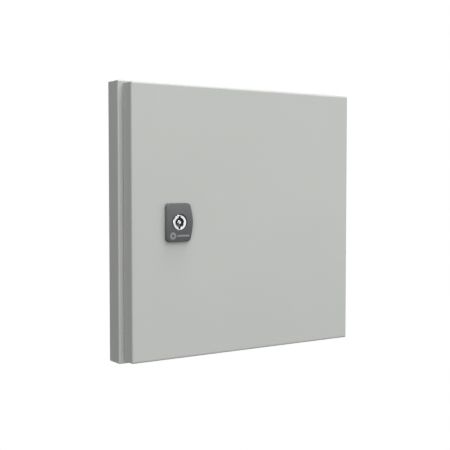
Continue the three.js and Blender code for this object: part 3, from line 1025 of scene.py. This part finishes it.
def make_grommet(side):
    """A rubber grommet with a thin membrane, gripping the bottom wall."""
    node = f"cable_grommet_{side}"
    low, high = panel_box(node)
    centre, flange = grommet_place(side)
    wall = -HALF_HEIGHT
    neck = flange - GROMMET_LIP
    inside = wall + SHEET + CLEAR
    profile = [
        (2, wall - 0.2), (2.6, wall - 0.7), (neck - 3, wall - 0.7), (neck - 2.4, wall - 1.2),
        (neck - 1.6, low.y), (flange - 0.7, low.y), (flange - 0.2, low.y + 0.25),
        (flange, low.y + 0.7), (flange, wall - CLEAR), (neck, wall - CLEAR), (neck, inside),
        (neck + 0.9, inside), (neck + 0.8, inside + 0.9), (neck - 0.5, high.y - 0.2),
        (neck - 0.8, high.y), (neck - 1.9, high.y), (neck - 2.2, high.y - 0.3),
        (neck - 2.3, wall + 0.5), (3, wall + 0.4), (2.2, wall + 0.1),
    ]
    grommet = turned(f"{node}_rubber", centre, profile, RUBBER, axis="up")
    return settle(grommet, "case", "rubber", node)


def make_cam_fixing():
    """The flat washer and the hexagon screw behind the cam."""
    low, high = panel_box("lock_cam_washer")
    radius = (high.x - low.x) / 2
    washer = flat_washer("lock_cam_disc", LOCK, low.z, high.z, M5 + CLEAR, radius)
    settle(washer, "lock", "zinc_plated_steel", "lock_cam_washer")
    low, high = panel_box("lock_cam_screw")
    head_top = panel_box("lock_cam_washer")[0].z - CLEAR
    shape = chamfered_hexagon(M5_FLATS, low.z, head_top + 3)
    rise = (head_top - low.z) / 6
    profile = [(shape, low.z + rise * i) for i in range(7)]
    thread = thread_profile(M5, M5_PITCH, head_top + M5_PITCH, high.z - 0.5)
    profile += [(M5, head_top), *thread]
    profile += [(1.9, high.z)]
    screw = turned("lock_cam_bolt", LOCK, profile, ZINC)
    settle(screw, "lock", "zinc_plated_steel", "lock_cam_screw")


# ------------------------------------------------------------------ CAD nodes that stay


def refine(node, material, ease=0.12):
    """Gives a CAD node its material and eased edges."""
    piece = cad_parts[node]
    piece.data.materials.clear()
    piece.data.materials.append(material)
    bevel = piece.modifiers.new("eased_edges", "BEVEL")
    bevel.width = ease * MM
    bevel.segments = 2
    bevel.limit_method = "ANGLE"
    bevel.angle_limit = SHARP_EDGE


def refine_sheet_parts():
    """The pressed plates whose CAD shape is already right."""
    refine("mounting_plate", GALVANISED, 0.3)
    refine("lock_striker", ZINC, 0.25)
    refine("lock_cam", ZINC, 0.3)


# ------------------------------------------------------------------ studio

CAMERA_FROM_DOOR = Vector((-0.5651, -0.8056, 0.0415))
CAMERA_YAW = 33.52
CAMERA_PITCH = 2.72
FOCAL_LENGTH = 69.85
SENSOR = 36
FLOOR_DROP = 0.62


def make_camera():
    """The viewpoint, placed from the middle of the door's front."""
    camera = bpy.data.objects.new("camera", bpy.data.cameras.new("camera"))
    camera.data.sensor_width = SENSOR
    camera.data.lens = FOCAL_LENGTH
    camera.data.clip_end = 50
    camera.location = at(0, 0, DOOR_FRONT) + CAMERA_FROM_DOOR
    camera.rotation_euler = (
        math.radians(90 - CAMERA_PITCH), 0, math.radians(-CAMERA_YAW))
    bpy.context.scene.collection.objects.link(camera)
    bpy.context.scene.camera = camera


def soft_box(name, azimuth, elevation, distance, size, level):
    """A square soft light aimed at the enclosure, azimuth 0 being straight out from the wall.

    The level is the brightness that it gives a white surface facing it.
    """
    light = bpy.data.lights.new(name, "AREA")
    light.shape = "SQUARE"
    light.size = size
    light.energy = level * (math.pi * distance) ** 2
    lamp = bpy.data.objects.new(name, light)
    across, rise = math.radians(azimuth), math.radians(elevation)
    towards = Vector((
        math.sin(across) * math.cos(rise), -math.cos(across) * math.cos(rise), math.sin(rise)))
    lamp.location = towards * distance
    lamp.rotation_euler = towards.to_track_quat("Z", "Y").to_euler()
    bpy.context.scene.collection.objects.link(lamp)


def white_to_the_camera(material_nodes, links, lit, output):
    """Mixes a lit surface with plain white, which only the camera sees."""
    white = material_nodes.new("ShaderNodeEmission")
    white.inputs["Strength"].default_value = 1.0
    seen = material_nodes.new("ShaderNodeLightPath")
    mix = material_nodes.new("ShaderNodeMixShader")
    links.new(seen.outputs["Is Camera Ray"], mix.inputs[0])
    links.new(lit, mix.inputs[1])
    links.new(white.outputs[0], mix.inputs[2])
    links.new(mix.outputs[0], output.inputs["Surface"])


def make_studio():
    """Five soft lights and an even fill."""
    soft_box("left_light", -42, 8, 5.0, 3.5, 0.43)
    soft_box("right_light", 47, 9, 2.4, 1.8, 0.185)
    soft_box("front_light", 0, 48, 4.5, 3.0, 0.41)
    soft_box("overhead_light", 60, 80, 3.0, 1.6, 0.8)
    soft_box("rear_light", 165, 15, 4.0, 3.0, 0.35)
    world = bpy.data.worlds.new("studio")
    world.use_nodes = True
    nodes, links = world.node_tree.nodes, world.node_tree.links
    fill = nodes["Background"]
    fill.inputs["Color"].default_value = (1, 1, 1, 1)
    fill.inputs["Strength"].default_value = 0.13
    white_to_the_camera(nodes, links, fill.outputs[0], nodes["World Output"])
    bpy.context.scene.world = world


def make_floor():
    """A wide plain floor below the enclosure."""
    paint = Paint("studio_floor", (0.22, 0.22, 0.22), 0.7)
    white_to_the_camera(
        paint.nodes, paint.links, paint.shader.outputs[0], paint.nodes["Material Output"])
    side = 6
    mesh = bpy.data.meshes.new("studio_floor")
    corners = [(-side, -side), (side, -side), (side, side), (-side, side)]
    mesh.from_pydata([Vector((x, y, -FLOOR_DROP)) for x, y in corners], [], [(0, 1, 2, 3)])
    mesh.materials.append(paint.material)
    floor = bpy.data.objects.new("studio_floor", mesh)
    bpy.context.scene.collection.objects.link(floor)


bpy.context.scene.view_settings.view_transform = "Standard"
make_camera()
make_studio()
make_floor()
make_body()
make_door()
make_gasket()
make_cover()
make_cover_marking()
make_lock_seal()
make_housing()
make_lock_nut()
make_insert()
make_pin()
for hinge in ("top", "bottom"):
    make_body_leaf(hinge)
    make_door_leaf(hinge)
    make_hinge_pin(hinge)
make_fixings()
for side in SIDES:
    make_grommet(side)
make_cam_fixing()
refine_sheet_parts()
